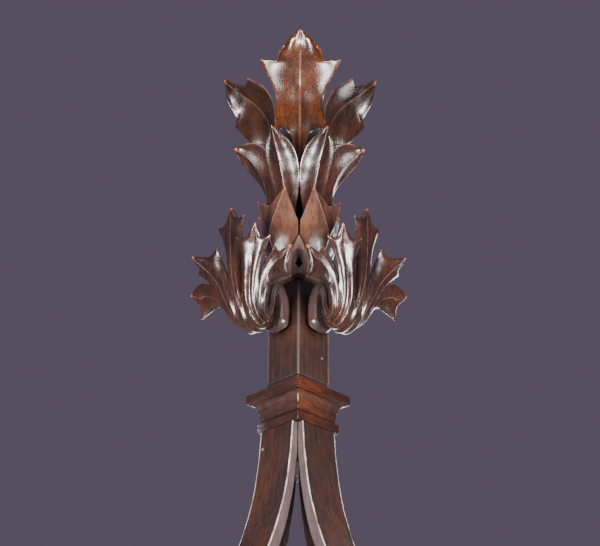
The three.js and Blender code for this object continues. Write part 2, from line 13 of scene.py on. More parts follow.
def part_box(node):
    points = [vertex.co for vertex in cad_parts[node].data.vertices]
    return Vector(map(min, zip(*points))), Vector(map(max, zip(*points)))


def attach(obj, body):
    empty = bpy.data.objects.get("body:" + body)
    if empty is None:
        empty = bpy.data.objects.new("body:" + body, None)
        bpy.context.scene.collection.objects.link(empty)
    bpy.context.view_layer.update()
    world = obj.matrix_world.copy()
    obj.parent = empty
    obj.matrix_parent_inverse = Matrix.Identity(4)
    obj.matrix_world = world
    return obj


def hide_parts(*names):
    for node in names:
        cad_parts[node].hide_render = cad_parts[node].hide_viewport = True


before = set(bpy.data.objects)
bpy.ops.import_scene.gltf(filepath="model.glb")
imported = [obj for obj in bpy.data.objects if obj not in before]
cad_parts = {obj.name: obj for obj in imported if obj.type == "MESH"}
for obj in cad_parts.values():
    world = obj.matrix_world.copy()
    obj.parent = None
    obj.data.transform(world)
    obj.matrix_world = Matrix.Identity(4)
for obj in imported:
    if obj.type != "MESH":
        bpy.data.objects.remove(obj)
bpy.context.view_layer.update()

# ---- places, from the frame ----
MM = 0.001
post_low, post_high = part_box("post")
AXIS = Vector(((post_low.x + post_high.x) / 2, (post_low.y + post_high.y) / 2, 0))
FRONT = -math.pi / 2
EIGHTH = math.pi / 4
QUARTER = math.pi / 2

# ---- sizes in millimetres; heights are measured from the rib feet ----
GLUE_GAP = 0.3
POST_HALF = 25.0
POST_BOTTOM_Z = 146.0
COLLAR_BOTTOM_Z = 189.6
COLLAR_TOP_Z = 234.0
SEAM_Z = COLLAR_TOP_Z + 13.9
CAPITAL_BOTTOM_Z = 371.0
CAPITAL_SHOULDER_Z = 404.0
CAPITAL_TOP_Z = 441.0
CAPITAL_HALF_DIAGONAL = 45.5
CAPITAL_NECK_HALF_DIAGONAL = 39.5


# ================= curves and sheets =================
SHEET_EASING_ROUNDS = 40
TIP_ROWS = 0.3


def smooth_curve(points, places):
    """Points on a Catmull-Rom curve through points, at places counted in points from 0."""
    points = np.asarray(points, float)
    padded = np.vstack([2 * points[0] - points[1], points, 2 * points[-1] - points[-2]])
    index = np.clip(np.floor(places).astype(int), 0, len(points) - 2)
    f = (np.asarray(places) - index)[:, None]
    p0, p1, p2, p3 = (padded[index + k] for k in range(4))
    m1 = (p2 - p0) / 2
    m2 = (p3 - p1) / 2
    return (
        (2 * f**3 - 3 * f**2 + 1) * p1
        + (f**3 - 2 * f**2 + f) * m1
        + (3 * f**2 - 2 * f**3) * p2
        + (f**3 - f**2) * m2
    )


def broken_curve(points, corners, places):
    """The same, but the curve breaks at each corner, so lobe tips and notches stay sharp."""
    ends = [0] + list(corners) + [len(points) - 1]
    ends = sorted(set(ends))
    result = np.zeros((len(places), 3))
    for start, end in zip(ends[:-1], ends[1:]):
        inside = (places >= start) & (places <= end)
        result[inside] = smooth_curve(points[start : end + 1], places[inside] - start)
    return result


def unit(vectors):
    """The vectors, each scaled to a length of 1."""
    return vectors / np.maximum(np.linalg.norm(vectors, axis=-1, keepdims=True), 1e-9)


def across_places(count):
    """Places across a leaf from -1 to 1, closer together at the midrib and the margins."""
    half = np.linspace(0, 1, count + 1)
    half = 0.5 - 0.5 * np.cos(half * math.pi)
    return np.concatenate([-half[:0:-1], half])


def eased(grid, rounds, keep_middle=False):
    """Averages each inner point with its four neighbours, so the sheet flows past lobes and notches."""
    middle = grid.shape[1] // 2
    for _ in range(rounds):
        mean = grid.copy()
        mean[1:-1, 1:-1] = (grid[:-2, 1:-1] + grid[2:, 1:-1] + grid[1:-1, :-2] + grid[1:-1, 2:]) / 4
        if keep_middle:
            mean[:, middle] = grid[:, middle]
        grid = mean
    return grid


def leaf_sheet(rows, steps, columns):
    """A leaf's surface points, normals, distances from the midrib and half widths, and its places
    along from 0 to 1 and across from -1 to 1. Rows run from root to tip: (left margin, midrib,
    right margin[, which margins have a corner there])."""
    # the margins and the midrib
    left_corners = [i for i, row in enumerate(rows) if len(row) > 3 and row[3] != "right"]
    right_corners = [i for i, row in enumerate(rows) if len(row) > 3 and row[3] != "left"]
    places = np.arange((len(rows) - 1) * steps + 1) / steps
    left = broken_curve([row[0] for row in rows], left_corners, places)
    middle = smooth_curve([row[1] for row in rows], places)
    right = broken_curve([row[2] for row in rows], right_corners, places)

    # the surface between them
    even = np.linspace(-1, 1, 2 * columns + 1)
    blend = np.abs(even)[None, :, None]
    margin = np.where(even[None, :, None] < 0, left[:, None], right[:, None])
    sheet = eased(middle[:, None] * (1 - blend) + margin * blend, SHEET_EASING_ROUNDS, keep_middle=True)
    across = across_places(columns)
    surface = np.stack([
        np.stack([np.interp(across, even, row[:, k]) for k in range(3)], axis=1) for row in sheet
    ])

    # its normals; close to the tip, where the margins meet, directions are kept from just below
    tips = places > places[-1] - TIP_ROWS
    along = unit(np.gradient(surface, axis=0))
    along[tips] = along[~tips][-1]
    sideways = unit(right - left)
    sideways[tips] = sideways[~tips][-1]
    slope = np.gradient(surface, axis=1)
    slope[tips] = sideways[tips][:, None]
    normal = unit(eased(unit(np.cross(unit(slope), along)), 4))

    # how far each point is from the midrib, measured over the surface
    centre = columns
    lengths = np.linalg.norm(np.diff(surface, axis=1), axis=2)
    distance = np.zeros(surface.shape[:2])
    distance[:, centre + 1 :] = np.cumsum(lengths[:, centre:], axis=1)
    distance[:, :centre] = np.cumsum(lengths[:, :centre][:, ::-1], axis=1)[:, ::-1]
    half = np.where(across[None, :] < 0, distance[:, :1], distance[:, -1:])
    for _ in range(3 * steps):
        half[1:-1] = (half[:-2] + 2 * half[1:-1] + half[2:]) / 4
    return surface, normal, distance, np.maximum(half, 0.5), places / places[-1], across


def closed_grid(front, back):
    """Vertices and faces of the closed body between two grids of points."""
    rows, columns = front.shape[:2]
    count = rows * columns
    points = np.vstack([front.reshape(-1, 3), back.reshape(-1, 3)])
    faces = []
    for r in range(rows - 1):
        for c in range(columns - 1):
            a = r * columns + c
            b = a + columns
            faces.append((a, a + 1, b + 1, b))
            faces.append((count + a, count + b, count + b + 1, count + a + 1))
    rim = list(range(columns))
    rim += [r * columns + columns - 1 for r in range(1, rows)]
    rim += [(rows - 1) * columns + c for c in range(columns - 2, -1, -1)]
    rim += [r * columns for r in range(rows - 2, 0, -1)]
    for a, b in zip(rim, rim[1:] + rim[:1]):
        faces.append((b, a, count + a, count + b))
    return points, faces


def bump(value, width):
    """A smooth hump: 1 at 0, and near 0 past twice the width."""
    return np.exp(-((value / width) ** 2))


def leaf_body(rows, thickness, hollow, rib, steps=8, columns=9, edge=1.6, flare=0.0, dip=0.8):
    """A carved leaf. thickness and hollow are (root, tip) pairs in millimetres; a negative hollow
    makes the halves round. rib is the height of the raised midrib, flare widens the back face, and
    a larger dip starts the hollow farther from the midrib."""
    surface, normal, distance, half, rise, across = leaf_sheet(rows, steps, columns)
    rise = rise[:, None]
    off = np.abs(across)[None, :]

    # full thickness at the midrib, down to edge at the margins
    thick = thickness[0] + (thickness[1] - thickness[0]) * rise
    thick = edge + (thick - edge) * (1 - off**2) ** 0.7

    # the relief of the front face: two hollow or rounded halves and the raised midrib
    depth = hollow[0] + (hollow[1] - hollow[0]) * rise**0.8
    depth = np.sign(depth) * np.minimum(np.abs(depth), half * 0.3)
    relief = -depth * np.sin(math.pi * np.clip(distance / half, 0, 1) ** dip)
    relief = relief + rib * np.minimum(half / 6, 1) * bump(distance, 1.1 + 0.5 * (1 - rise))

    front = surface + normal * (thick / 2 + relief)[..., None]
    outward = np.sign(across)[None, :, None] * unit(surface[:, -1:] - surface[:, :1])
    wider = flare * off**3 * np.minimum(half / 8, 1)
    back = surface - normal * (thick / 2)[..., None] + outward * wider[..., None]
    points, faces = closed_grid(front, back)
    return points, faces, front[:, columns]


def mirrored(rows):
    """Rows of a leaf that is the same on both sides: (midrib x, midrib z, margin point[, corner])."""
    full = []
    for mid_x, mid_z, side, *corner in rows:
        full.append([(side[0], -side[1], side[2]), (mid_x, 0, mid_z), side, *corner])
    return full


def flipped(rows):
    """The same leaf on the other side of its piece's middle plane."""
    swap = {"left": "right", "right": "left", "both": "both"}
    turned = []
    for left, mid, right, *corner in rows:
        points = [(x, -y, z) for x, y, z in (right, mid, left)]
        turned.append([*points, *(swap[margin] for margin in corner)])
    return turned


# ================= meshes =================
def place(points, angle):
    """Turns radial-frame millimetres about the axis into row-frame metres."""
    c, s = math.cos(angle), math.sin(angle)
    x, y, z = points[:, 0], points[:, 1], points[:, 2]
    turned = np.stack([x * c - y * s, x * s + y * c, z], axis=1) * MM
    return turned + np.array(AXIS)


def radial_points(obj, angle):
    """An object's points, turned back from the row frame into radial-frame millimetres."""
    co = (mesh_arrays(obj.data)[0] - np.array(AXIS)) / MM
    c, s = math.cos(angle), math.sin(angle)
    return np.stack([co[:, 0] * c + co[:, 1] * s, co[:, 1] * c - co[:, 0] * s, co[:, 2]], axis=1)


def new_object(name, points, faces):
    """A mesh object in the scene, from points in row-frame metres."""
    mesh = bpy.data.meshes.new(name)
    mesh.from_pydata(points.tolist(), [], faces)
    mesh.validate()
    obj = bpy.data.objects.new(name, mesh)
    bpy.context.scene.collection.objects.link(obj)
    return obj


def apply_modifiers(obj):
    """Replaces an object's mesh with what its modifiers make of it."""
    depsgraph = bpy.context.evaluated_depsgraph_get()
    mesh = bpy.data.meshes.new_from_object(obj.evaluated_get(depsgraph))
    obj.modifiers.clear()
    old = obj.data
    obj.data = mesh
    bpy.data.meshes.remove(old)


def join_bodies(name, bodies, angle):
    """One closed object from several overlapping closed bodies in the radial frame."""
    first, *others = [new_object(name, place(body[0], angle), body[1]) for body in bodies]
    for other in others:
        union = first.modifiers.new("join", "BOOLEAN")
        union.operation = "UNION"
        union.solver = "MANIFOLD"
        union.object = other
    apply_modifiers(first)
    for other in others:
        bpy.data.objects.remove(other)
    return first


def mesh_arrays(mesh):
    """A mesh's vertex places, its edges as vertex pairs, and its vertex normals."""
    co = np.zeros(len(mesh.vertices) * 3)
    mesh.vertices.foreach_get("co", co)
    edges = np.zeros(len(mesh.edges) * 2, int)
    mesh.edges.foreach_get("vertices", edges)
    normals = np.zeros(len(mesh.vertices) * 3)
    mesh.vertices.foreach_get("normal", normals)
    return co.reshape(-1, 3), edges.reshape(-1, 2), normals.reshape(-1, 3)


def neighbour_mean(values, edges):
    """Each vertex's mean value over the vertices that it shares an edge with."""
    total = np.zeros_like(values)
    count = np.zeros(len(values))
    for a, b in ((0, 1), (1, 0)):
        np.add.at(total, edges[:, a], values[edges[:, b]])
        np.add.at(count, edges[:, a], 1)
    return total / np.maximum(count, 1).reshape((-1,) + (1,) * (values.ndim - 1))


def roughen(obj, amount, size):
    """Hand-carved unevenness: moves each point along its normal by smooth noise, amount in mm."""
    co, _, normals = mesh_arrays(obj.data)
    move = np.array([noise.noise(Vector(p) / (size * MM)) for p in co])
    obj.data.vertices.foreach_set("co", (co + normals * (move * amount * MM)[:, None]).ravel())
    obj.data.update()


def store_wear_and_shade(obj):
    """Writes wear on arrises and ridges and, in the valleys, dirt together with painted shade, from how the
    surface bends.
    """
    co, edges, normals = mesh_arrays(obj.data)
    bend = np.zeros(len(co))
    count = np.zeros(len(co))
    for a, b in ((0, 1), (1, 0)):
        step = co[edges[:, a]] - co[edges[:, b]]
        length = np.maximum(np.linalg.norm(step, axis=1), 1e-7)
        np.add.at(bend, edges[:, a], (step * normals[edges[:, a]]).sum(axis=1) / length)
        np.add.at(count, edges[:, a], 1)
    bend = bend / np.maximum(count, 1)
    wide = bend
    for _ in range(3):
        wide = neighbour_mean(wide, edges) * 0.6 + wide * 0.4
    write_attribute(obj, "wear_and_highlight", (bend - 0.10) / 0.30)
    # painted shade: concave valleys are darkened as if shade fell in them, along with grime
    write_attribute(obj, "dirt_and_shade", (-wide - 0.02) / 0.12)


def write_attribute(obj, name, values):
    """Writes one value from 0 to 1 per vertex, which the materials read by name."""
    attribute = obj.data.attributes.get(name) or obj.data.attributes.new(name, "FLOAT", "POINT")
    attribute.data.foreach_set("value", np.clip(values, 0, 1).astype(np.float32))


def store_spots(obj, name, centres, reach):
    """Writes how near each point is to any of the given row-frame places, 1 at them, 0 beyond reach."""
    co, _, _ = mesh_arrays(obj.data)
    nearest = np.full(len(co), 1e3)
    for centre in centres:
        nearest = np.minimum(nearest, np.linalg.norm(co - centre, axis=1) / MM)
    write_attribute(obj, name, 1 - nearest / reach)


def midrib_wear_and_highlight(obj, bodies, angle, reach, weight):
    """Adds lighter colour along each leaf body's midrib: varnish rubbed by hands and dusters, together with
    a painted highlight along the ridge.
    """
    line = np.vstack([body[2] for body in bodies if len(body) > 2])
    line = np.vstack([line[:-1] + (line[1:] - line[:-1]) * f for f in (0, 0.25, 0.5, 0.75)])
    tree = kdtree.KDTree(len(line))
    for index, point in enumerate(place(line, angle)):
        tree.insert(point, index)
    tree.balance()
    co, _, _ = mesh_arrays(obj.data)
    near = np.array([1 - tree.find(point)[2] / (reach * MM) for point in co]) * weight
    worn_and_lit = np.zeros(len(co), np.float32)
    obj.data.attributes["wear_and_highlight"].data.foreach_get("value", worn_and_lit)
    write_attribute(obj, "wear_and_highlight", np.maximum(worn_and_lit, near))


TIP_RUB_REACH = 7.5


def finish_piece(obj, nodes, material, uneven, size, sharp=38, tips=(), angle=0.0, bodies=(),
                 ridge_reach=1.2, ridge_weight=1.0):
    """Unevenness, wear, shading, material and the CAD nodes it stands for. tips are where the
    varnish has rubbed through; bodies are the leaf bodies whose midribs catch the light."""
    store_wear_and_shade(obj)
    if bodies:
        midrib_wear_and_highlight(obj, bodies, angle, ridge_reach, ridge_weight)
    roughen(obj, uneven, size)
    store_spots(obj, "rubbed", place(np.array(tips, float).reshape(-1, 3), angle), TIP_RUB_REACH)
    obj.data.shade_smooth()
    obj.data.set_sharp_from_angle(angle=math.radians(sharp))
    obj.data.materials.clear()
    obj.data.materials.append(material)
    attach(obj, "root")
    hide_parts(*nodes)


# ================= materials =================
def srgb(red, green, blue):
    """A linear colour from display values of 0 to 255."""
    return tuple((c / 255) ** 2.2 for c in (red, green, blue)) + (1.0,)


class Nodes:
    """Short calls for building a material's node tree."""

    def __init__(self, name, level=False):
        self.level = level
        self.material = bpy.data.materials.new(name)
        self.material.use_nodes = True
        self.tree = self.material.node_tree
        self.shader = self.tree.nodes["Principled BSDF"]

    def add(self, kind, **values):
        node = self.tree.nodes.new(kind)
        for key, value in values.items():
            setattr(node, key, value)
        return node

    def link(self, source, target):
        self.tree.links.new(source, target)

    def grain(self, scale, stretch, detail=4.0, roughness=0.55):
        """Noise drawn out along the grain: upright, or level in a moulding that lies across."""
        coordinates = self.add("ShaderNodeTexCoord")
        mapping = self.add("ShaderNodeMapping")
        stretches = (stretch, stretch, 1) if self.level else (1, 1, stretch)
        mapping.inputs["Scale"].default_value = stretches
        texture = self.add("ShaderNodeTexNoise")
        texture.inputs["Scale"].default_value = scale
        texture.inputs["Detail"].default_value = detail
        texture.inputs["Roughness"].default_value = roughness
        self.link(coordinates.outputs["Object"], mapping.inputs["Vector"])
        self.link(mapping.outputs["Vector"], texture.inputs["Vector"])
        return texture.outputs["Fac"]

    def ramp(self, source, low, high):
        node = self.add("ShaderNodeMapRange", interpolation_type="SMOOTHSTEP")
        node.inputs["From Min"].default_value = low
        node.inputs["From Max"].default_value = high
        self.link(source, node.inputs["Value"])
        return node.outputs["Result"]

    def maths(self, operation, a, b):
        node = self.add("ShaderNodeMath", operation=operation)
        for socket, value in zip(node.inputs, (a, b)):
            if isinstance(value, (int, float)):
                socket.default_value = value
            else:
                self.link(value, socket)
        return node.outputs[0]

    def scaled(self, value, factor, offset):
        return self.maths("ADD", self.maths("MULTIPLY", value, factor), offset)

    def mix(self, factor, a, b):
        node = self.add("ShaderNodeMix", data_type="RGBA")
        colour_inputs = [s for s in node.inputs if s.type == "RGBA"]
        for socket, value in ((node.inputs[0], factor), (colour_inputs[0], a), (colour_inputs[1], b)):
            if isinstance(value, (int, float, tuple)):
                socket.default_value = value
            else:
                self.link(value, socket)
        return [s for s in node.outputs if s.type == "RGBA"][0]

    def attribute(self, name):
        node = self.add("ShaderNodeAttribute", attribute_name=name)
        return node.outputs["Fac"]

    def bump(self, height, strength, distance, before=None):
        node = self.add("ShaderNodeBump")
        node.inputs["Strength"].default_value = strength
        node.inputs["Distance"].default_value = distance
        self.link(height, node.inputs["Height"])
        if before is not None:
            self.link(before, node.inputs["Normal"])
        return node.outputs["Normal"]


# painted light: the mauve scuff grey also stands in for a painted sheen, and the near-black dirt colour
# also paints shade
SHEEN_AND_SCUFF_GREY = srgb(96, 81, 82)
BARE_TIP = srgb(196, 92, 44)
DIRT_AND_SHADE = srgb(12, 8, 7)


def varnished_wood(name, dark, brown, warm, worn_and_lit, *, patchiness, wear_and_highlight, gloss, level=False, coat=0.6,
                   specular=0.55):
    """Dark-stained, varnished hardwood: streaky grain, warm patches, worn light edges with painted
    highlight, dirt and painted shade in hollows, scuffs with painted sheen.
    patchiness and the wear strength go from 0 to 1, and level turns the grain to lie across."""
    n = Nodes(name, level)

    # stain: streaks of brown, warm patches broken up by mottle, dark flecks
    streaks = n.ramp(n.grain(230, 0.07, 6, 0.62), 0.28, 0.76)
    flecks = n.ramp(n.grain(700, 0.12, 4, 0.65), 0.5, 0.66)
    patches = n.ramp(n.grain(22, 0.5, 5, 0.6), 0.5 - 0.22 * patchiness, 0.72)
    mottle = n.ramp(n.grain(75, 0.35, 6, 0.7), 0.35, 0.7)
    colour = n.mix(streaks, dark, brown)
    warm_part = n.maths("MULTIPLY", patches, n.scaled(mottle, 0.7, 0.3))
    colour = n.mix(n.maths("MULTIPLY", warm_part, patchiness), colour, warm)
    colour = n.mix(n.maths("MULTIPLY", flecks, 0.65), colour, dark)

    # use and painted light: scuffed faces with painted sheen, worn edges with painted highlight, tips
    # rubbed to the bare wood, dirt and painted shade in the valleys
    scuff_and_sheen = n.maths("MULTIPLY", n.attribute("scuff_and_sheen"), n.scaled(mottle, 0.4, 0.6))
    colour = n.mix(scuff_and_sheen, colour, SHEEN_AND_SCUFF_GREY)
    rub = n.ramp(n.grain(120, 0.5, 4, 0.6), 0.35, 0.62)
    edges = n.ramp(n.attribute("wear_and_highlight"), 0.15, 1.0)
    edges = n.maths("MULTIPLY", edges, n.scaled(rub, 0.7, 0.3))
    colour = n.mix(n.maths("MULTIPLY", edges, wear_and_highlight), colour, worn_and_lit)
    bare = n.maths("MULTIPLY", n.ramp(n.attribute("rubbed"), 0.25, 0.85), 0.85)
    colour = n.mix(bare, colour, BARE_TIP)
    dirt_and_shade = n.ramp(n.attribute("dirt_and_shade"), 0.05, 0.9)
    colour = n.mix(n.maths("MULTIPLY", dirt_and_shade, 0.8), colour, DIRT_AND_SHADE)
    n.link(colour, n.shader.inputs["Base Color"])

    # varnish: uneven gloss over fine grain and shallow tool marks
    shine = n.scaled(n.grain(260, 0.2, 6, 0.7), 0.24, gloss - 0.12)
    n.link(shine, n.shader.inputs["Roughness"])
    fine = n.bump(n.grain(420, 0.1, 5, 0.7), 0.5, 0.0006)
    tool_marks = n.bump(n.grain(110, 0.35, 4, 0.6), 0.35, 0.0009, fine)
    n.link(tool_marks, n.shader.inputs["Normal"])
    n.shader.inputs["Specular IOR Level"].default_value = specular
    n.shader.inputs["Coat Weight"].default_value = coat
    n.shader.inputs["Coat Roughness"].default_value = 0.2
    return n.material


def plain_metal(name, colour, rust):
    """Tarnished metal with small spots of rust."""
    n = Nodes(name)
    spots = n.ramp(n.grain(900, 1, 4, 0.7), 0.4, 0.65)
    n.link(n.mix(spots, colour, rust), n.shader.inputs["Base Color"])
    n.link(n.ramp(n.grain(500, 1, 3, 0.6), -0.3, 1.4), n.shader.inputs["Roughness"])
    n.shader.inputs["Metallic"].default_value = 0.6
    return n.material


joinery = varnished_wood("stained_joinery", srgb(30, 23, 20), srgb(56, 40, 35), srgb(86, 46, 30),
                         srgb(225, 214, 210), patchiness=0.7, wear_and_highlight=0.9, gloss=0.42)
moulding_wood = varnished_wood("stained_moulding", srgb(26, 17, 14), srgb(52, 33, 28), srgb(80, 43, 30),
                               srgb(170, 140, 128), patchiness=0.6, wear_and_highlight=0.6, gloss=0.36, level=True)
warm_moulding = varnished_wood("warm_moulding", srgb(24, 12, 9), srgb(52, 25, 17), srgb(112, 56, 22),
                               srgb(160, 110, 84), patchiness=0.75, wear_and_highlight=0.5, gloss=0.36, level=True)
carved = varnished_wood("stained_carving", srgb(26, 17, 15), srgb(54, 37, 33), srgb(86, 48, 34),
                        srgb(184, 146, 130), patchiness=0.7, wear_and_highlight=0.6, gloss=0.28)
calyx_carved = varnished_wood("calyx_carving", srgb(44, 30, 26), srgb(84, 63, 57), srgb(128, 74, 44),
                              srgb(190, 156, 140), patchiness=0.7, wear_and_highlight=0.6, gloss=0.32)
crown_carved = varnished_wood("crown_carving", srgb(20, 13, 10), srgb(48, 32, 26), srgb(84, 50, 27),
                              srgb(130, 98, 82), patchiness=0.9, wear_and_highlight=0.3, gloss=0.29)
warm_carved = varnished_wood("warm_carving", srgb(18, 10, 7), srgb(52, 28, 17), srgb(108, 57, 24),
                             srgb(150, 104, 80), patchiness=1.0, wear_and_highlight=0.35, gloss=0.27)
# painted light: a lighter copy of the carving, partly rubbed grey finish and partly lightened to stand in
# for light that the block's shaded faces miss
rubbed_and_lit_carved = varnished_wood("rubbed_and_lit_carving", srgb(96, 76, 70), srgb(156, 130, 120), srgb(170, 126, 102),
                               srgb(200, 172, 156), patchiness=0.5, wear_and_highlight=0.6, gloss=0.4)
# painted shade: a near-black, almost unreflecting wood that stands in for the shade inside the crown
core_shade = varnished_wood("core_shade_carving", srgb(8, 6, 5), srgb(14, 10, 8), srgb(20, 12, 9),
                        srgb(30, 22, 18), patchiness=0.3, wear_and_highlight=0.2, gloss=0.8, coat=0.0, specular=0.1)
bare_wood = varnished_wood("dowel_wood", srgb(110, 78, 48), srgb(150, 110, 72), srgb(160, 118, 78),
                           srgb(170, 130, 90), patchiness=0.3, wear_and_highlight=0.2, gloss=0.55)
nail_metal = plain_metal("nail_metal", srgb(168, 146, 130), srgb(96, 62, 44))


# ================= bodies made from a bent box =================
def mapped_box(counts, mapping):
    """A closed box with that many cells each way, its points (0 to 1 each way) moved by mapping."""
    counts = np.array(counts)
    index = {}
    spots = []

    def corner(*cell):
        if cell not in index:
            index[cell] = len(spots)
            spots.append(cell)
        return index[cell]

    faces = []
    for axis in range(3):
        side_a, side_b = (axis + 1) % 3, (axis + 2) % 3
        for end in (0, counts[axis]):
            for i in range(counts[side_a]):
                for j in range(counts[side_b]):
                    ring = []
                    for di, dj in ((0, 0), (1, 0), (1, 1), (0, 1)):
                        cell = [0, 0, 0]
                        cell[axis], cell[side_a], cell[side_b] = int(end), i + di, j + dj
                        ring.append(corner(*cell))
                    faces.append(tuple(ring if end else ring[::-1]))
    return mapping(np.array(spots, float) / counts), faces


def bevel_arrises(obj, width, segments=2, angle=40):
    """Rounds the edges that turn by more than angle, width in millimetres."""
    bevel = obj.modifiers.new("soft arris", "BEVEL")
    bevel.width = width * MM
    bevel.segments = segments
    bevel.limit_method = "ANGLE"
    bevel.angle_limit = math.radians(angle)
    bevel.use_clamp_overlap = True
    apply_modifiers(obj)


def spread(values, low, high):
    """Values from 0 to 1, spread from low to high."""
    return low + (high - low) * values


# ================= joinery =================
ARRIS = 2.4
SEAM_DEPTH = 1.2


def edged(p, cells, half, margin):
    """Spreads cell places evenly across a side, except for one narrow cell beside each arris."""
    return np.interp(p * cells, [0, 1, cells - 1, cells], [-half, margin - half, half - margin, half])


def make_post():
    """The square post, corner to the front, a touch wider where it meets the collar, with an open
    seam line round it just above, darkened with painted shadow."""
    across = 12
    up = 225

    def shape(p):
        z = spread(p[:, 2], POST_BOTTOM_Z, CAPITAL_BOTTOM_Z - GLUE_GAP)
        foot = np.clip(1 - (z - COLLAR_TOP_Z) / 12, 0, 1) * (z > COLLAR_TOP_Z + 0.5)
        groove = np.clip(1.1 - np.abs(z - SEAM_Z), 0, 1)
        widen = (POST_HALF - 0.1 + foot**2 - SEAM_DEPTH * groove) / POST_HALF
        side = [edged(p[:, k], across, POST_HALF, ARRIS + 0.5) * widen for k in (0, 1)]
        return np.stack([*side, z], axis=1)

    post = join_bodies("post_wood", [mapped_box((across, across, up), shape)], EIGHTH)
    bevel_arrises(post, ARRIS, 3)
    finish_piece(post, ["post"], joinery, uneven=0.3, size=16)
    out, off, height = radial_points(post, EIGHTH).T
    inside = POST_HALF - np.minimum(np.abs(out), np.abs(off))
    above = np.clip((height - SEAM_Z - 1) / 2, 0, 1)
    write_attribute(post, "scuff_and_sheen", (inside < ARRIS + 0.25) * above * 0.75)
    write_attribute(post, "wear_and_highlight", (1 - np.abs(inside - ARRIS) / 0.5) * above)
    # painted shadow: the seam groove is darkened to a black line, as if the collar cast a shadow there
    write_attribute(post, "dirt_and_shade", 1.3 - np.abs(height - SEAM_Z) / 1.1)


# Middle lines of a rib's outer and inner faces, from its top down to its foot.
RIB_OUTER = [(32.4, 0, 189.3), (36, 0, 149), (44.4, 0, 102), (63.6, 0, 48), (90, 0, 0)]
RIB_INNER = [(25.4, 0, 189.3), (26.0, 0, 150), (34.6, 0, 96), (49.2, 0, 50), (75, 0, 0)]
RIB_HALF_WIDTH = 25.0


def make_rib(side, angle):
    """A curved board that lies flat on the post and sweeps out to a level foot."""
    def shape(p):
        place_along = (1 - p[:, 2]) * (len(RIB_OUTER) - 1)
        outer = smooth_curve(RIB_OUTER, place_along)
        inner = smooth_curve(RIB_INNER, place_along)
        point = inner + (outer - inner) * p[:, :1]
        point[:, 1] = -np.cos(p[:, 1] * math.pi) * RIB_HALF_WIDTH
        return point

    rib = join_bodies(f"rib_board_{side}", [mapped_box((6, 16, 70), shape)], angle)
    bevel_arrises(rib, 0.7)
    finish_piece(rib, [f"rib_{side}"], joinery, uneven=0.35, size=18)
    distance, off, height = radial_points(rib, angle).T
    at_side = np.abs(off) > RIB_HALF_WIDTH - 0.5
    curve = smooth_curve(RIB_OUTER, np.linspace(0, len(RIB_OUTER) - 1, 60))
    inside = np.interp(height, curve[::-1, 2], curve[::-1, 0]) - distance
    # painted sheen: the side faces get a mauve grey sheen, with scuffing; the light line along the outer
    # arris is worn edge together with painted highlight
    write_attribute(rib, "scuff_and_sheen", at_side * 0.8)
    write_attribute(rib, "wear_and_highlight", at_side * (1 - inside / 1.2))
    # darker towards the top of the rib
    write_attribute(rib, "dirt_and_shade", 0.4 * (1 - at_side) * (height - 90) / 90)


COLLAR_INSIDE = POST_HALF + GLUE_GAP
COLLAR_FOOT_OUT = 32.6
COLLAR_FOOT_HEIGHT = 10
COVE_INSIDE = 29.4
COVE_DEPTH = 8.2
COLLAR_STEP_OUT = 39.4
COLLAR_FILLET_OUT = 41.7
COLLAR_FILLET_HEIGHT = 11


def collar_profile():
    """Distance out and height of the moulding's face, from its foot up."""
    foot_top = COLLAR_BOTTOM_Z + COLLAR_FOOT_HEIGHT
    cove_top = COLLAR_TOP_Z - COLLAR_FILLET_HEIGHT
    fillet_bottom = cove_top + 1.2
    foot = [(COLLAR_FOOT_OUT, z) for z in np.linspace(COLLAR_BOTTOM_Z + 0.2, foot_top, 6)]
    turns = QUARTER * np.arange(15) / 14
    cove_out = COVE_INSIDE + COVE_DEPTH * (1 - np.cos(turns))
    cove = list(zip(cove_out, foot_top + (cove_top - foot_top) * np.sin(turns)))
    lip = [(COLLAR_STEP_OUT - 0.2, cove_top + 0.2), (COLLAR_STEP_OUT, fillet_bottom)]
    fillet = [(COLLAR_FILLET_OUT, z) for z in np.linspace(fillet_bottom, COLLAR_TOP_Z, 6)]
    return foot + cove + lip + fillet


def make_collar(side, angle, material, chipped):
    """A mitred moulding: foot fillet, cove, undercut step and top fillet."""
    profile = np.array(collar_profile())
    rows = len(profile) - 1

    def shape(p):
        row = np.round(p[:, 2] * rows).astype(int)
        out = spread(p[:, 0], COLLAR_INSIDE, profile[row, 0])
        side_place = spread(p[:, 1], -1, 1) * (out - GLUE_GAP / 2)
        return np.stack([out, side_place, profile[row, 1]], axis=1)

    moulding = join_bodies(f"collar_moulding_{side}", [mapped_box((6, 40, rows), shape)], angle)
    bevel_arrises(moulding, 0.7, 2, 35)
    if chipped is not None:
        chip_corner(moulding, chipped)
    finish_piece(moulding, [f"collar_{side}"], material, uneven=0.45, size=11)
    height = mesh_arrays(moulding.data)[0][:, 2] / MM
    cove_foot = COLLAR_BOTTOM_Z + COLLAR_FOOT_HEIGHT + 3.2
    # painted shade: the cove is darkened just above the foot fillet, as if shade fell there
    write_attribute(moulding, "dirt_and_shade", 1.2 - np.abs(height - cove_foot) / 1.6)


CHIP_REACH = 15
CHIP_GRAIN = 2.6


def chip_corner(obj, corner):
    """Breaks a corner of a moulding's foot: points near it are eaten back by coarse noise."""
    co, _, _ = mesh_arrays(obj.data)
    distance = np.linalg.norm((co - corner) / MM, axis=1)
    near = np.clip(1.3 - distance / CHIP_REACH, 0, 1)
    bite = np.array([noise.noise(Vector(p) / (CHIP_GRAIN * MM)) for p in co])
    inward = unit(np.array(AXIS) * [1, 1, 0] - co * [1, 1, 0])
    move = inward * (near * (1.5 + 3.0 * bite))[:, None] * MM
    obj.data.vertices.foreach_set("co", (co + move).ravel())
    obj.data.update()
    write_attribute(obj, "scuff_and_sheen", near * (0.5 + bite))


DIAMOND_Z = 386
DIAMOND_HALF_WIDTH = 4.6
DIAMOND_HALF_HEIGHT = 10


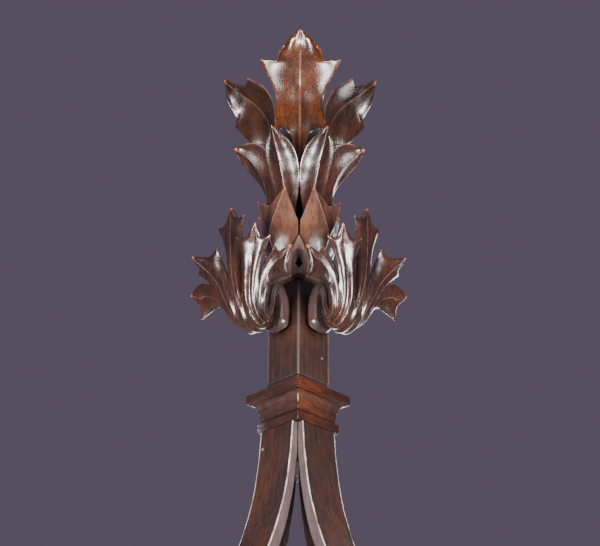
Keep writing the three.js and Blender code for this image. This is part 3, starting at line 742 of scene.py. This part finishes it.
def make_capital_block():
    """The square block under the crown, with a narrower neck and a pierced diamond at each corner."""
    bodies = []
    for half_diagonal, low, high in ((CAPITAL_HALF_DIAGONAL, CAPITAL_BOTTOM_Z, CAPITAL_SHOULDER_Z),
                                     (CAPITAL_NECK_HALF_DIAGONAL, CAPITAL_SHOULDER_Z - 2, CAPITAL_TOP_Z)):
        half = half_diagonal / math.sqrt(2)

        def shape(p):
            xy = spread(p[:, :2], -1, 1) * half
            return np.column_stack([xy, spread(p[:, 2], low, high)])

        bodies.append(mapped_box((16, 16, 12), shape))
    block = join_bodies("capital_wood", bodies, EIGHTH)

    def diamond(p):
        y = spread(p[:, 1], -1, 1)
        z = spread(p[:, 2], -1, 1)
        across = (y - z) * DIAMOND_HALF_WIDTH / 2
        height = DIAMOND_Z + (y + z) * DIAMOND_HALF_HEIGHT / 2
        return np.stack([spread(p[:, 0], 30, 60), across, height], axis=1)

    for quarter in range(4):
        cutter = join_bodies("diamond_cutter", [mapped_box((1, 1, 1), diamond)], FRONT + quarter * QUARTER)
        cut = block.modifiers.new("diamond", "BOOLEAN")
        cut.operation = "DIFFERENCE"
        cut.solver = "MANIFOLD"
        cut.object = cutter
        apply_modifiers(block)
        bpy.data.objects.remove(cutter)
    bevel_arrises(block, 0.8, 2, 50)
    # painted light: the block takes the lightened carving material
    finish_piece(block, ["capital_block"], rubbed_and_lit_carved, uneven=0.3, size=9)


# The bud core's outline as (radius, height), foot first.
BUD_OUTLINE = [(28, 441.4), (29, 470), (26, 487), (17, 505), (13, 535), (12, 560), (11.5, 600), (8, 627.5)]


def make_bud_core():
    """The turned spindle that carries the crown leaves."""
    outline = [(radius, 0, z) for radius, z in BUD_OUTLINE]
    rows = smooth_curve(outline, np.linspace(0, len(outline) - 1, 60))
    sides = 40
    points = [(0, 0, rows[0][2])]
    for radius, _, z in rows:
        for turn in np.linspace(0, 2 * math.pi, sides, endpoint=False):
            points.append((radius * math.cos(turn), radius * math.sin(turn), z))
    points.append((0, 0, rows[-1][2]))
    faces = []
    last = 1 + (len(rows) - 1) * sides
    for i in range(sides):
        j = (i + 1) % sides
        faces.append((0, 1 + j, 1 + i))
        faces.append((last + i, last + j, len(points) - 1))
        for r in range(len(rows) - 1):
            a = 1 + r * sides
            faces.append((a + i, a + j, a + sides + j, a + sides + i))
    core = join_bodies("bud_wood", [(np.array(points, float), faces)], 0)
    # painted shade: the core is near black, as shade inside the crown
    finish_piece(core, ["bud_core"], core_shade, uneven=0.5, size=12)


# ================= crown leaves =================
# A top leaf's midrib as (distance out, height), root to tip, and its margins, a point for each
# midrib point: the shared stem, then the even, the front-facing or the drooping blade. The margins
# break at the foot of the blade, the lobe's tip and the notch above it.
TOP_MIDRIB = [(18, 506), (17.5, 535), (21, 562), (25.5, 584), (31, 601), (38, 621), (48, 641),
              (60, 655), (67, 661), (80, 672), (92, 682), (99.8, 691)]
TOP_TIP = (99.8, 0, 691)
STEM_MARGIN = [(17, 3.4, 506), (17, 4, 535), (20.5, 7, 565), (25, 14, 588)]
EVEN_MARGIN = [(27.5, 31, 590.5), (38, 29, 622), (51, 33, 638), (80, 50, 658.8), (73.2, 28.5, 661.3),
               (88.5, 24, 667.8), (94.5, 13, 681.3), (99.3, 0.5, 690.6)]
FACING_MARGIN = [(31, 31, 599), (34, 35, 622), (45, 42, 642), (67, 49, 653), (71, 26, 658),
                 (81, 16, 669), (92, 8, 681), (99.3, 0.5, 690.6)]
DROOPING_MARGIN = [(33, 29, 597), (47.6, 26, 604), (65, 30, 612), (86, 35, 641), (82.3, 21, 644),
                   (89, 17, 653), (96.3, 10, 667), (99.6, 0.5, 690.4)]
TOP_CORNERS = (4, 7, 8)
BLADE_FOOT_Z = 586


def top_leaf_rows(left_margin, right_margin):
    """Leaf rows from the shared midrib and stem and the two blade margins."""
    rows = []
    left = STEM_MARGIN + left_margin
    right = STEM_MARGIN + right_margin
    for index, (x, z) in enumerate(TOP_MIDRIB):
        a, b = left[index], right[index]
        corner = ["both"] if index in TOP_CORNERS else []
        rows.append([(a[0], -a[1], a[2]), (x, 0, z), b, *corner])
    return rows


def make_top_leaf(side, angle, left_margin, right_margin, material, hollow):
    """A large lobed leaf that bends outward, darkened with grime and painted shade where its blade spreads
    from the stem.
    """
    rows = top_leaf_rows(left_margin, right_margin)
    body = leaf_body(rows, (8, 4), hollow, 0.08, steps=9, columns=14, edge=2.0, flare=1.2, dip=1.3)
    leaf = join_bodies(f"top_leaf_wood_{side}", [body], angle)
    finish_piece(leaf, [f"top_leaf_{side}"], material, uneven=0.45, size=14,
                 tips=[TOP_TIP], angle=angle, bodies=[body], ridge_reach=2.2, ridge_weight=1.4)
    _, off, height = radial_points(leaf, angle).T
    # painted shade: darkening at the blade's foot, away from the midrib, which also dulls highlights there
    blade_grime_and_shade = np.minimum((np.abs(off) - 9) / 8, 1.2 - np.abs(height - BLADE_FOOT_Z) / 8)
    write_attribute(leaf, "dirt_and_shade", blade_grime_and_shade)


# Narrow leaves, root to tip: (left margin, midrib, right margin).
FACING_ROWS = [
    [(31.5, -12, 448), (36, 0, 448), (28, 7.5, 450)],
    [(33.5, -13.5, 468), (38.5, 0, 468), (29, 8, 471)],
    [(39, -15.5, 488), (44.5, 0, 489), (34, 12.5, 492)],
    [(50.5, -18.5, 514), (57, 0, 512), (45.5, 18, 517)],
    [(69.5, -16.5, 536), (74, 0, 533), (65, 16, 538.5)],
    [(88, -0.5, 553.8), (88.5, 0, 554.5), (88, 0.5, 553.8)],
]
DROOPING_ROWS = [
    [(31.5, -12, 448), (36, 0, 448), (31.5, 12, 448)],
    [(33, -13.5, 468), (37.5, 0, 468), (33.5, 15, 468.5)],
    [(37, -15, 486), (39, 0, 487), (37.5, 18, 491)],
    [(38.5, -15.5, 506), (42.5, 0, 508), (42.3, 21.5, 516)],
    [(49, -17, 526), (52, 0, 529), (51.5, 23.5, 540)],
    [(63, -17, 539), (67, 0, 545), (64.5, 23, 552)],
    [(76, -11, 547), (78, 0, 551), (77, 14, 554.5)],
    [(87, -0.5, 554), (87.5, 0, 554.5), (87, 0.5, 555)],
]
REAR_ROWS = mirrored([
    (36, 448, (31.5, 14, 448)),
    (38.5, 468, (33.5, 16, 468)),
    (42, 485, (38, 17, 485)),
    (49, 504, (46, 14, 503)),
    (60, 526, (59.4, 0.5, 525.3)),
])


def make_narrow_leaf(side, angle, rows):
    """A plain pointed leaf between the top leaves and the calyx."""
    body = leaf_body(rows, (10, 3.5), (1.8, 2.4), 0.15, steps=14, columns=10, edge=1.8, flare=0.8, dip=1.2)
    leaf = join_bodies(f"narrow_leaf_wood_{side}", [body], angle)
    finish_piece(leaf, [f"narrow_leaf_{side}"], carved, uneven=0.35, size=9,
                 tips=[rows[-1][1]], angle=angle, bodies=[body], ridge_reach=0.9, ridge_weight=0.7)


# ---- calyx: a forked leaf that wraps one corner of the bud ----
CALYX_HALF_ANGLE = math.radians(43)
CALYX_FORK_ANGLE = math.radians(26.6)
CALYX_BOWL_Z = 402
CALYX_ROOT_Z = 425
CALYX_SIDE_Z = 443
CALYX_NOTCH_Z = 469
CALYX_TIP_Z = 487
CALYX_BOWL_RADIUS = 38
CALYX_SWELL = 14.5
CALYX_SWELL_BOTTOM_Z = 400
CALYX_SWELL_HEIGHT = 40
CALYX_SIDE_RISE = 24
CALYX_TIP_RADIUS = 53
CALYX_FORK_DEPTH = 4.6
CALYX_SIDE_FALL = 7.5
CALYX_SIDE_HOLLOW = 1.6
CALYX_RIDGE_HEIGHT = 0.7
CALYX_RIDGE_WIDTH = 1.1
CALYX_WALL_ROOT = 5.5
CALYX_WALL_TIP = 2.9
CALYX_HEEL = {"near": 28.7, "far": 40, "half_width": 8, "bottom": 417, "top": 434}


def calyx_top(turn):
    """Height of the upper edge: a notch in the middle, a tip each side, and down to the sides."""
    off = np.abs(turn)
    to_tip = np.minimum(off, CALYX_FORK_ANGLE) / CALYX_FORK_ANGLE
    inner = CALYX_NOTCH_Z + (CALYX_TIP_Z - CALYX_NOTCH_Z) * to_tip**1.3
    past = np.clip((off - CALYX_FORK_ANGLE) / (CALYX_HALF_ANGLE - CALYX_FORK_ANGLE), 0, 1)
    outer = CALYX_TIP_Z - (CALYX_TIP_Z - CALYX_SIDE_Z) * past**0.8
    return np.where(off < CALYX_FORK_ANGLE, inner, outer)


def calyx_radius(turn, z):
    """The face's distance from the axis: two ridges part at the root and run up to the two tips."""
    rise = np.clip((z - CALYX_ROOT_Z) / (CALYX_TIP_Z - CALYX_ROOT_Z), 0, 1)
    ridge = CALYX_FORK_ANGLE * rise
    off = np.abs(turn)
    swell = np.sin(np.clip((z - CALYX_SWELL_BOTTOM_Z) / CALYX_SWELL_HEIGHT, 0, 1) * QUARTER)
    crest = CALYX_BOWL_RADIUS + CALYX_SWELL * swell + rise
    inside = crest - CALYX_FORK_DEPTH * ((ridge - off) / CALYX_FORK_ANGLE) ** 0.8
    fall = np.clip((off - ridge) / (CALYX_HALF_ANGLE - ridge), 0, 1)
    outside = crest - CALYX_SIDE_FALL * fall - CALYX_SIDE_HOLLOW * np.sin(math.pi * fall**0.6)
    face = np.where(off < ridge, inside, outside)
    return face + CALYX_RIDGE_HEIGHT * bump((off - ridge) * 50, CALYX_RIDGE_WIDTH)


def on_turn(radius, turn, z):
    """Radial-frame points at that distance from the axis, turned round it."""
    return np.stack([radius * np.cos(turn), radius * np.sin(turn), z], axis=1)


def calyx_ridges():
    """The two ridge lines, in the place where a leaf body keeps its midrib."""
    rise = np.linspace(0, 1, 30)
    height = spread(rise, CALYX_ROOT_Z, CALYX_TIP_Z)
    ridges = []
    for way in (-1, 1):
        turn = way * CALYX_FORK_ANGLE * rise
        ridges.append((None, None, on_turn(calyx_radius(turn, height), turn, height)))
    return ridges


def make_calyx_leaf(side, angle):
    """A bowl-footed leaf with a forked top, and the heel that glues it to the capital block."""
    def blade(p):
        turn = spread(p[:, 1], -1, 1) * CALYX_HALF_ANGLE
        low = CALYX_BOWL_Z + CALYX_SIDE_RISE * (np.abs(turn) / CALYX_HALF_ANGLE) ** 2.2
        z = low + (calyx_top(turn) - low) * p[:, 2]
        wall = spread(p[:, 2], CALYX_WALL_ROOT, CALYX_WALL_TIP)
        return on_turn(calyx_radius(turn, z) - wall * (1 - p[:, 0]), turn, z)

    def heel(p):
        out = spread(p[:, 0], CALYX_HEEL["near"], CALYX_HEEL["far"])
        across = spread(p[:, 1], -1, 1) * CALYX_HEEL["half_width"]
        return np.stack([out, across, spread(p[:, 2], CALYX_HEEL["bottom"], CALYX_HEEL["top"])], axis=1)

    bodies = [mapped_box((2, 80, 44), blade), mapped_box((4, 4, 4), heel)]
    leaf = join_bodies(f"calyx_leaf_wood_{side}", bodies, angle)
    forks = np.array([-CALYX_FORK_ANGLE, CALYX_FORK_ANGLE])
    tips = on_turn(CALYX_TIP_RADIUS, forks, np.full(2, CALYX_TIP_Z))
    finish_piece(leaf, [f"calyx_leaf_{side}"], calyx_carved, uneven=0.4, size=10, sharp=50,
                 tips=tips, angle=angle, bodies=calyx_ridges())


# ================= crockets =================
# Middle line of the hooked strap as (distance out, half thickness, height), knob first.
STRAP = [(37, 8.4, 305), (34.4, 8.6, 322), (34.6, 8.2, 341), (42, 6.6, 356), (50.8, 5, 343), (54, 4.2, 325),
         (57.5, 6.5, 312), (66, 10.5, 303), (78, 9.5, 305), (88, 7, 317), (95, 4, 336)]
STRAP_HALF_WIDTH = 14.2
STRAP_FLUTES = 8
FLUTE_DEPTH = 0.13
FLUTES_START = 3.2
HOOK_OUT = 50
HOOK_TOP_Z = 362


def strap_body():
    """A fluted strap that hooks over at the post, turns under and rises again, blunt at its knob."""
    last = len(STRAP) - 1

    def shape(p):
        along = p[:, 2] * last
        line = smooth_curve(STRAP, along)
        ahead = smooth_curve(STRAP, np.minimum(along + 0.02, last))
        behind = smooth_curve(STRAP, np.maximum(along - 0.02, 0))
        tangent = (ahead - behind) * [1, 0, 1]
        normal = unit(np.stack([tangent[:, 2], np.zeros(len(p)), -tangent[:, 0]], axis=1))
        a = spread(p[:, 1], -1, 1)
        b = spread(p[:, 0], -1, 1)
        round_a = a * (0.35 + 0.65 * np.sqrt(1 - b * b / 2))
        round_b = b * (0.35 + 0.65 * np.sqrt(1 - a * a / 2))
        knob = np.sin(np.clip(p[:, 2] / 0.07 + 0.2, 0, 1) * QUARTER) ** 0.7
        fluted = np.clip((along - FLUTES_START) / 1.2, 0, 1)
        turn = np.arctan2(round_b, round_a)
        ridge = 1 - FLUTE_DEPTH * fluted * np.sin(turn * STRAP_FLUTES / 2) ** 2
        narrow = 1 + 0.1 * np.clip(1 - along / 2.5, 0, 1)
        point = line * [1, 0, 1] - normal * (round_b * line[:, 1] * knob * ridge)[:, None]
        point[:, 1] = -round_a * STRAP_HALF_WIDTH * knob * ridge * narrow
        return point

    return mapped_box((18, 28, 130), shape)


# Leaf lobes of a crocket, root to tip: (left margin, midrib, right margin[, broken margins]).
MIDDLE_LOBE = mirrored([
    (70, 302, (70, 4, 302)),
    (83, 307, (82.6, 5, 308)),
    (95, 324, (93.5, 7, 325)),
    (103, 351, (100.5, 9.5, 352)),
    (107, 385, (104, 12, 386)),
    (108.5, 405, (111, 21.5, 418), "both"),
    (109, 414, (108.6, 12, 415.5), "both"),
    (110, 437, (109.8, 0.5, 436.4)),
])

SIDE_LOBE = [
    [(68, 3, 300), (68, 9, 301), (67, 15, 304)],
    [(82, 5, 303), (79.5, 11, 305), (77, 17, 308)],
    [(94.5, 7.5, 320), (89.5, 15, 318), (84, 20.5, 315)],
    [(102.5, 13, 342), (96, 21, 335), (91, 28.5, 330)],
    [(106.5, 18, 361.5), (101, 28, 353), (97, 37, 352)],
    [(121, 22, 383), (108.5, 38, 369), (105.6, 61, 376), "both"],
    [(115, 32, 379.5), (111, 42, 374), (108, 50.5, 375), "both"],
    [(121, 52.2, 388.6), (121.4, 52.8, 389), (121, 53.4, 388.6)],
]

LOW_LOBE = [
    [(66, 12, 301), (65, 15, 305), (64, 13, 311)],
    [(78.5, 17, 304), (76, 19.5, 308), (71, 17, 315)],
    [(86.5, 21, 315), (81.5, 26, 317), (75, 24, 323)],
    [(91.5, 28, 334), (86, 34, 330), (79.5, 33, 330)],
    [(95, 38.5, 352), (89.5, 44, 343), (83, 47, 335)],
    [(97.6, 60.4, 366), (91.5, 60, 351), (85.6, 73.4, 327), "both"],
    [(95.5, 64, 358), (92, 68, 351), (88.5, 69.5, 342), "both"],
    [(95.5, 82.6, 359.4), (95.2, 83.2, 359), (94.9, 83.2, 358.4)],
]


def with_left_margins(rows, moved, smooth=()):
    """The same rows with some left margins moved; rows in smooth no longer break that margin."""
    changed = []
    for index, (left, mid, right, *corner) in enumerate(rows):
        if index in smooth:
            corner = ["right"]
        changed.append([moved.get(index, left), mid, right, *corner])
    return changed


# The two lobes of a crocket's rear side: the upper one spreads wider, the lower one runs in one arc
# to its tip instead of a tooth.
REAR_SIDE_LOBE = with_left_margins(SIDE_LOBE, {2: (93, 5.5, 319), 3: (99.5, 10, 344), 4: (103, 14.5, 364),
                                               5: (116, 17, 387), 6: (112, 29, 382)})
REAR_LOW_LOBE = with_left_margins(LOW_LOBE, {4: (96.5, 43, 357), 5: (99, 60, 365), 6: (97.5, 73, 364)},
                                  smooth=(5, 6))


def make_crocket(side, angle, rear):
    """A hooked scroll whose fluted strap opens into five leaf lobes; rear is +1 or -1, the back side."""
    settings = dict(rib=0.25, steps=9, columns=11, edge=1.8, dip=1.1)
    rear_lobes = [REAR_SIDE_LOBE, REAR_LOW_LOBE]
    front_lobes = [SIDE_LOBE, LOW_LOBE]
    if rear > 0:
        front_lobes = [flipped(rows) for rows in front_lobes]
    else:
        rear_lobes = [flipped(rows) for rows in rear_lobes]
    upper = [MIDDLE_LOBE, rear_lobes[0], front_lobes[0]]
    lower = [rear_lobes[1], front_lobes[1]]
    bodies = [strap_body()]
    bodies += [leaf_body(rows, (10, 3.2), (-3.2, -1.4), **settings) for rows in upper]
    bodies += [leaf_body(rows, (7, 3), (-2.4, -0.6), **settings) for rows in lower]
    crocket = join_bodies(f"crocket_wood_{side}", bodies, angle)
    finish_piece(crocket, [f"crocket_{side}"], carved, uneven=0.35, size=8, sharp=50,
                 tips=[rows[-1][1] for rows in upper + lower], angle=angle, bodies=bodies,
                 ridge_reach=1.0, ridge_weight=0.6)
    distance, _, height = radial_points(crocket, angle).T
    # painted light: the hook and knob get a lighter mauve grey that stands in for light not reaching them,
    # along with rubbing
    on_hook = np.minimum((HOOK_OUT - distance) / 6, (HOOK_TOP_Z - height) / 10).clip(0, 1)
    write_attribute(crocket, "scuff_and_sheen", on_hook * 0.45)


# ================= the whole object =================
SIDES = ["front_left", "front_right", "back_right", "back_left"]
COLLAR_CORNER_OUT = 46.3
EVEN_HOLLOW = (1.0, 4.2)
SIDE_HOLLOW = (0.4, 2.0)

make_post()
left_corner = place(np.array([[COLLAR_CORNER_OUT, 0, COLLAR_BOTTOM_Z + 2]]), math.pi)[0]
for index, side_name in enumerate(SIDES):
    side_angle = FRONT - EIGHTH + index * QUARTER
    make_rib(side_name, side_angle)
    chipped_corner = left_corner if side_name in ("front_left", "back_left") else None
    moulding_material = warm_moulding if side_name == "front_right" else moulding_wood
    make_collar(side_name, side_angle, moulding_material, chipped_corner)
    make_calyx_leaf(side_name, side_angle)
make_capital_block()
make_bud_core()
make_top_leaf("front", FRONT, EVEN_MARGIN, EVEN_MARGIN, warm_carved, EVEN_HOLLOW)
make_top_leaf("right", FRONT + QUARTER, FACING_MARGIN, DROOPING_MARGIN, crown_carved, SIDE_HOLLOW)
make_top_leaf("back", FRONT + 2 * QUARTER, EVEN_MARGIN, EVEN_MARGIN, crown_carved, EVEN_HOLLOW)
make_top_leaf("left", FRONT - QUARTER, DROOPING_MARGIN, FACING_MARGIN, crown_carved, SIDE_HOLLOW)
make_narrow_leaf("left_side", FRONT - 1.5 * EIGHTH, DROOPING_ROWS)
make_narrow_leaf("left_front", FRONT - 0.5 * EIGHTH, FACING_ROWS)
make_narrow_leaf("right_front", FRONT + 0.5 * EIGHTH, flipped(FACING_ROWS))
make_narrow_leaf("right_side", FRONT + 1.5 * EIGHTH, flipped(DROOPING_ROWS))
make_narrow_leaf("right_back", EIGHTH, REAR_ROWS)
make_narrow_leaf("left_back", 3 * EIGHTH, REAR_ROWS)
make_crocket("left", FRONT - EIGHTH, -1)
make_crocket("right", FRONT + EIGHTH, 1)

# CAD nodes that stay: dowels inside the joints, the nail and the plug.
for node_name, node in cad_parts.items():
    if node.hide_render:
        continue
    is_dowel = "dowel" in node_name
    node.data.materials.clear()
    node.data.materials.append(bare_wood if is_dowel else nail_metal)


# ================= floor, light and camera =================
def make_floor():
    """A pale slab under the rib feet, in metres; its near edge stays out of the camera's view."""
    n = Nodes("pale_floor")
    shade = n.mix(n.grain(3, 1, 3, 0.5), srgb(205, 202, 198), srgb(216, 213, 210))
    n.link(shade, n.shader.inputs["Base Color"])
    n.shader.inputs["Roughness"].default_value = 0.8
    low = np.array([-2.2, -0.13, -0.02])
    high = np.array([2.2, 2.2, 0])
    floor = new_object("floor", *mapped_box((1, 1, 1), lambda p: spread(p, low, high)))
    floor.data.materials.append(n.material)


def area_light(name, location, target, size, power, colour):
    """A rectangular light turned to its target, in metres and watts."""
    light = bpy.data.lights.new(name, "AREA")
    light.shape = "RECTANGLE"
    light.size, light.size_y = size
    light.energy = power
    light.color = colour
    obj = bpy.data.objects.new(name, light)
    obj.location = location
    obj.rotation_euler = (Vector(target) - Vector(location)).to_track_quat("-Z", "Y").to_euler()
    bpy.context.scene.collection.objects.link(obj)


def make_world():
    world = bpy.data.worlds.new("plain")
    world.use_nodes = True
    background = world.node_tree.nodes["Background"]
    background.inputs["Color"].default_value = srgb(90, 81, 97)
    background.inputs["Strength"].default_value = 1.0
    bpy.context.scene.world = world


def make_camera():
    """30 degrees below the horizontal, looking up at the post's axis from the front."""
    aim = Vector((AXIS.x + 0.0014, AXIS.y, 0.396))
    distance = 1.380
    tilt = math.radians(30)
    roll = math.radians(0.36)
    camera = bpy.data.cameras.new("camera")
    camera.sensor_width = 36
    camera.lens = 69
    camera.clip_start = 0.05
    obj = bpy.data.objects.new("camera", camera)
    forward = Vector((0, math.cos(tilt), math.sin(tilt)))
    obj.location = aim - forward * distance
    obj.rotation_euler = forward.to_track_quat("-Z", "Y").to_euler()
    obj.rotation_euler.rotate_axis("Z", roll)
    bpy.context.scene.collection.objects.link(obj)
    bpy.context.scene.camera = obj


make_floor()
make_world()
make_camera()
bud = (AXIS.x, AXIS.y, 0.45)
white = (1.0, 0.98, 0.97)
area_light("left_soft", (-0.80, -0.90, -0.10), bud, (0.36, 0.5), 42, white)
area_light("right_soft", (0.80, -0.90, -0.10), bud, (0.36, 0.5), 42, white)
area_light("top_soft", (0.0, -1.0, 1.5), bud, (1.2, 1.2), 6, (1.0, 0.98, 0.96))
area_light("back_soft", (0.5, 1.6, 0.5), bud, (1.6, 1.6), 40, white)
